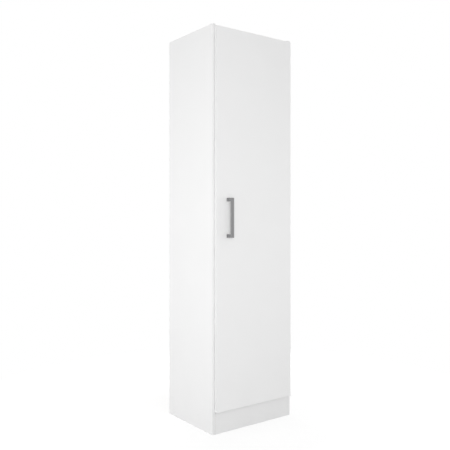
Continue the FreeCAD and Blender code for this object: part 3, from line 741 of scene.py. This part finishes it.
def turned_group(node, piece_name, direction, make, **makeup):
    """One object with a turned piece for each solid of a node."""
    shape = bmesh.new()
    solids = loose_solids(node)
    for index, points in enumerate(solids):
        facing = facing_of(points, direction)
        crown, rings = measure_turned(points, facing)
        upright = Vector((0, 0, 1)).rotation_difference(facing).to_matrix().to_4x4()
        spun = Matrix.Rotation(math.radians(index * DRIVER_TURN_DEG), 4, "Z")
        piece_mesh = make(rings, **makeup)
        piece_mesh.transform(Matrix.Translation(crown) @ upright @ spun)
        shape.from_mesh(piece_mesh)
        bpy.data.meshes.remove(piece_mesh)
    mesh = bpy.data.meshes.new(piece_name)
    shape.to_mesh(mesh)
    shape.free()
    mesh.shade_smooth()
    mesh.set_sharp_from_angle(angle=math.radians(SMOOTH_DEG))
    mesh.materials.append(finishes[slot_of[node]])
    piece = bpy.data.objects.new(piece_name, mesh)
    bpy.context.scene.collection.objects.link(piece)
    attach(piece, nodes[node]["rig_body"])
    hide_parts(node)
    print(piece_name, len(solids), "pieces,", len(mesh.polygons), "faces")


print("turn of the driver from screw to screw:", DRIVER_TURN_DEG)

# %% [markdown]
# ## Nails and buffers
# A nail in the back sheet has a low dome and a point, and a buffer on the door is a low dome of soft
# plastic on a straight rim. A half sphere could be squeezed to make the dome, but then its rim would
# seldom meet the rest. A quarter of an ellipse in the profile meets it exactly.

# %% Nails and buffers
CURVE_STEPS = 6
NAIL_DOME_SHARE = 0.5
NAIL_POINT_SHARE = 2.0
BUFFER_DOME_SHARE = 0.6


def dome(radius, rise):
    """Profile points of a dome with its crown at height zero, from the crown to the rim."""
    points = []
    for step in range(CURVE_STEPS + 1):
        angle = step / CURVE_STEPS * math.pi / 2
        points.append((radius * math.sin(angle), -rise * (1 - math.cos(angle))))
    return points


def nail_mesh(rings):
    """A nail with a low dome and a point."""
    (head, _), (_, under_head) = rings[:2]
    shank, end = rings[-1]
    profile = dome(head, -under_head * NAIL_DOME_SHARE)
    profile += [(head, under_head), (shank, under_head)]
    profile += [(shank, end + shank * NAIL_POINT_SHARE), (0.0, end)]
    return turned(lambda share: profile)


def buffer_mesh(rings):
    """A low dome of soft plastic on a straight rim."""
    radius, end = rings[-1]
    profile = dome(radius, -end * BUFFER_DOME_SHARE) + [(radius, end), (0.0, end)]
    return turned(lambda share: profile)


turned_group("back_panel_nails", "sheet_nails", "+Y", nail_mesh)
turned_group("door_bumpers", "soft_buffers", "+Y", buffer_mesh)

# %% [markdown]
# ## Dowels
# A beech dowel has flutes along its sides, so that glue and air can leave the hole. They could be cut one
# by one, but a fluted section is only a radius that goes up and down round the turn. Four steps to a flute
# are enough, because pressed flutes have straight flanks.

# %% Dowels
FLUTES = 20
FLUTE_DEPTH = 0.00035
STEPS_PER_FLUTE = 4


def dowel_mesh(rings):
    """A dowel with its chamfered ends and its flutes."""

    def profile_at(share):
        sink = FLUTE_DEPTH * (1 - math.cos(2 * math.pi * FLUTES * share)) / 2
        fluted = [(radius - sink, height) for radius, height in rings]
        return [(0.0, rings[0][1])] + fluted + [(0.0, rings[-1][1])]

    return turned(profile_at, FLUTES * STEPS_PER_FLUTE)


turned_group("wooden_dowels", "fluted_dowels", "inwards", dowel_mesh)

# %% [markdown]
# ## Threads
# A thread is a ridge that winds round a shank. The Screw modifier can wind a ridge, but its two ends stay
# open. Here the profile holds all the ridges, and they climb by one pitch in one turn, so at the last step
# each lies where the one above it began. Climbing anticlockwise makes the usual right-hand thread. A ridge
# that passes either end of the shank sinks to the root, and so the thread runs out by itself.

# %% Threads
NECK_SHARE = 0.5
RIDGE_SHARES = ((0.25, 0.0), (0.5, 1.0), (1.0, 0.0))


def thread(root, crest, pitch, top, tip, share):
    """Profile points of a thread between two heights, at a share of the turn."""
    points = []
    for ridge in range(math.ceil((top - tip) / pitch) + 1):
        for place, rise in RIDGE_SHARES:
            height = top - (ridge + place - share) * pitch
            radius = root + rise * (crest - root) if tip < height < top else root
            points.append((radius, min(max(height, tip), top)))
    return points


def threaded(upper, start, crest, end, pitch, root_share, point_share):
    """An upper profile, and from its start a plain neck, a thread and a tip."""
    root = crest * root_share
    top = start - pitch * NECK_SHARE
    tip = end + crest * point_share
    upper = upper + [(root, start), (root, top)]
    lower = [(root, tip), (0.0, end)]
    return turned(lambda share: upper + thread(root, crest, pitch, top, tip, share) + lower)


print("points in a ridge:", len(RIDGE_SHARES))

# %% [markdown]
# ## The cross in a head
# A cross driver fits a plus-shaped recess that narrows towards its floor. A bump would only paint it, and
# cutting it into the turned faces by hand would be slow. So a tapered plus-shaped prism is taken out of
# the head by an exact Boolean, and a weld removes the points that the cut leaves on top of each other.

# %% Take one mesh out of another


def carved(mesh, tool):
    """A mesh with a tool taken out of it."""
    body, cutter = (bpy.data.objects.new("carving", part) for part in (mesh, tool))
    for part in (body, cutter):
        bpy.context.scene.collection.objects.link(part)
    cut = body.modifiers.new("cut", "BOOLEAN")
    cut.operation = "DIFFERENCE"
    cut.object = cutter
    cut.solver = "EXACT"
    bpy.context.view_layer.update()
    shape = bmesh.new()
    shape.from_object(body, bpy.context.evaluated_depsgraph_get())
    for part in (body, cutter):
        bpy.data.objects.remove(part)
    for part in (mesh, tool):
        bpy.data.meshes.remove(part)
    return closed_mesh(shape, "carved")


print("mesh tools:", [tool.__name__ for tool in (closed_mesh, turned, carved)])

# %% Cut a cross
RIGHT_ANGLES = 4
CROSS_LENGTH_SHARE = 0.56
CROSS_WIDTH_SHARE = 0.13
CROSS_DEPTH_SHARE = 0.75
CROSS_TAPER_SHARE = 0.45
CROSS_RISE = 0.00001


def cross_prism(half_length, half_width, depth):
    """A plus sign from just above height zero down to a depth, where it is narrower."""
    corners = [(half_width, half_width), (half_length, half_width), (half_length, -half_width)]
    outline = []
    for turn in range(RIGHT_ANGLES):
        quarter = Matrix.Rotation(-turn * math.pi / 2, 2)
        outline += [quarter @ Vector(corner) for corner in corners]
    shape = bmesh.new()
    upper = [shape.verts.new((*point, CROSS_RISE)) for point in outline]
    lower = [shape.verts.new((*(point * CROSS_TAPER_SHARE), -depth)) for point in outline]
    shape.faces.new(upper)
    shape.faces.new(lower)
    for index in range(len(outline)):
        shape.faces.new((upper[index - 1], upper[index], lower[index], lower[index - 1]))
    return closed_mesh(shape, "cross")


def with_cross(mesh, head, head_height):
    """A mesh with a driver's cross cut into its head."""
    half_length = head * CROSS_LENGTH_SHARE
    half_width = head * CROSS_WIDTH_SHARE
    return carved(mesh, cross_prism(half_length, half_width, head_height * CROSS_DEPTH_SHARE))


print("depth of a cross:", CROSS_DEPTH_SHARE, "of the head's height")

# %% [markdown]
# ## Screws and cam bolts
# A cup screw bites into particle board, so its thread is deep and coarse and it has a point. A plate screw
# is stout and blunt in its drilled hole, and the screws of handle and arm have the fine thread of machine
# screws. A cam bolt is a headed peg whose last step screws into the side. Each could have its own maker,
# but they differ only in a few numbers, so two makers and a few sets of values serve them all.

# %% Screws and cam bolts
SCREW_DOME_SHARE = 0.5
BOLT_DOME_SHARE = 0.15
RIM_CHAMFER_SHARE = 0.9
BOARD_THREAD = dict(pitch=0.0016, root_share=0.66, point_share=1.6)
PEG_THREAD = dict(pitch=0.0020, root_share=0.70, point_share=0.0)
MACHINE_THREAD = dict(pitch=0.0008, root_share=0.82, point_share=0.0)


def screw_mesh(rings, **makeup):
    """A domed screw with a cross in its head."""
    (head, _), (_, under_head) = rings[:2]
    shank, end = rings[-1]
    upper = dome(head, -under_head * SCREW_DOME_SHARE)
    upper.append((head, under_head * RIM_CHAMFER_SHARE))
    upper.append((head * RIM_CHAMFER_SHARE, under_head))
    return with_cross(threaded(upper, under_head, shank, end, **makeup), head, -under_head)


def bolt_mesh(rings, **makeup):
    """A headed peg with a cross in its head and a thread on its last step."""
    (head, _), (_, under_head) = rings[:2]
    (crest, start), (_, end) = rings[-2:]
    upper = dome(head, -under_head * BOLT_DOME_SHARE) + rings[1:-2]
    return with_cross(threaded(upper, start, crest, end, **makeup), head, -under_head)


turned_group("hinge_cup_screws", "cup_screws", "+Y", screw_mesh, **BOARD_THREAD)
turned_group("hinge_plate_screws", "plate_screws", "-X", screw_mesh, **PEG_THREAD)
turned_group("hinge_arm_screws", "arm_screws", "-X", screw_mesh, **MACHINE_THREAD)
turned_group("handle_screws", "pull_screws", "+Y", screw_mesh, **MACHINE_THREAD)
turned_group("cam_bolts", "threaded_bolts", "inwards", bolt_mesh, **PEG_THREAD)

# %% [markdown]
# ## Light
# A product picture has no hard shadows. A sky picture could give such a light, but square lamps can be set
# one by one. A wide one faces the left side, and one stands beside the camera, so that what it casts hides
# behind what casts it. Two weak ones on the right lay a faint shadow beside the handle and even out the
# door. All four hang at half height, so the boards are brightest in the middle and fall off a little
# towards their ends. Three more, beside, behind and above, light the faces that the camera doesn't see.
# The world adds an even light to all sides, and shows as white to the camera and in reflections.

# %% Lamps
LAMPS = {
    "left_lamp": (Vector((-2.4, 0.3, 0.9)), 1.6, 21.7),
    "camera_lamp": (Vector((-1.65, -2.9, 0.9)), 2.0, 48.5),
    "shadow_lamp": (Vector((0.6, -2.5, 0.9)), 1.2, 3.2),
    "right_lamp": (Vector((2.2, -1.5, 0.9)), 1.2, 6.2),
    "far_side_lamp": (Vector((2.5, 0.4, 0.9)), 1.6, 14.0),
    "back_lamp": (Vector((0.4, 2.7, 0.9)), 1.6, 20.0),
    "top_lamp": (Vector((0.4, 0.8, 4.0)), 1.0, 12.0),
}


def soft_lamp(name, place, size, power):
    """A square lamp turned to the middle of the cupboard."""
    data = bpy.data.lights.new(name, "AREA")
    data.size = size
    data.energy = power
    lamp = bpy.data.objects.new(name, data)
    lamp.location = place
    lamp.rotation_euler = (MIDDLE - place).to_track_quat("-Z", "Y").to_euler()
    bpy.context.scene.collection.objects.link(lamp)


for lamp_name, (place, size, power) in LAMPS.items():
    soft_lamp(lamp_name, place, size, power)
print("lamps:", len(LAMPS), "watts:", round(sum(power for _, _, power in LAMPS.values()), 1))

# %% World
AMBIENT = 0.565
PURE_WHITE = (1.0, 1.0, 1.0, 1.0)


def seen_directly(tree):
    """One for rays from the camera, from a reflection or through glass, and zero for plain light."""
    path = add(tree, "LightPath").outputs
    seen = sum_of(tree, "MAXIMUM", path["Is Camera Ray"], path["Is Glossy Ray"])
    return sum_of(tree, "MAXIMUM", seen, path["Is Transmission Ray"])


world = bpy.data.worlds.new("studio")
bpy.context.scene.world = world
world.use_nodes = True
sky = world.node_tree
level = between(sky, seen_directly(sky), AMBIENT, 1.0)
fill(sky, sky.nodes["Background"].inputs["Color"], PURE_WHITE)
fill(sky, sky.nodes["Background"].inputs["Strength"], level)
print("world:", world.name, "even light:", AMBIENT)

# %% [markdown]
# ## The floor
# The floor is pale and plain, and the picture's background is white. More light would whiten the floor
# but bleach the cupboard too. So the camera sees the floor's own grey with a white glow added: near the
# cupboard the two together just reach white, which leaves the faint shadow at its foot, and far away the
# glow is all that is seen, so that the floor has no far edge.

# %% Floor
FLOOR_SIZE = 14.0
FLOOR_COLOUR = (0.35, 0.35, 0.35, 1.0)
FLOOR_ROUGHNESS = 0.9
NEAR_GLOW_SHARE = 0.4
NEAR_GLOW = 1.96
FAR_GLOW = 1.0
FLOOR_NEAR = 0.5
FLOOR_FAR = 1.5
MIX_SHADERS = (1, 2)

floor_mesh = bpy.data.meshes.new("floor")
floor_shape = bmesh.new()
bmesh.ops.create_grid(floor_shape, x_segments=1, y_segments=1, size=FLOOR_SIZE / 2)
floor_shape.to_mesh(floor_mesh)
floor_shape.free()
floor = bpy.data.objects.new("floor", floor_mesh)
bpy.context.scene.collection.objects.link(floor)

floor_material, floor_tree, floor_shader = start_material("pale_floor")
floor_shader.inputs["Base Color"].default_value = FLOOR_COLOUR
floor_shader.inputs["Roughness"].default_value = FLOOR_ROUGHNESS
reach = vector_sum(floor_tree, "LENGTH", own_place(floor_tree))
glow_share = mapped(floor_tree, reach, FLOOR_NEAR, FLOOR_FAR, NEAR_GLOW_SHARE, 1.0)
glow_level = mapped(floor_tree, reach, FLOOR_NEAR, FLOOR_FAR, NEAR_GLOW, FAR_GLOW)
glow = add(floor_tree, "Emission", {"Color": PURE_WHITE, "Strength": glow_level})
shown = sum_of(floor_tree, "MULTIPLY", seen_directly(floor_tree), glow_share)
cover = add(floor_tree, "MixShader", {
    MIX_SHARE: shown,
    MIX_SHADERS[0]: floor_shader.outputs["BSDF"],
    MIX_SHADERS[1]: glow.outputs["Emission"],
})
floor_tree.links.new(cover.outputs["Shader"], floor_tree.nodes["Material Output"].inputs["Surface"])
floor_mesh.materials.append(floor_material)
print("floor:", FLOOR_SIZE)
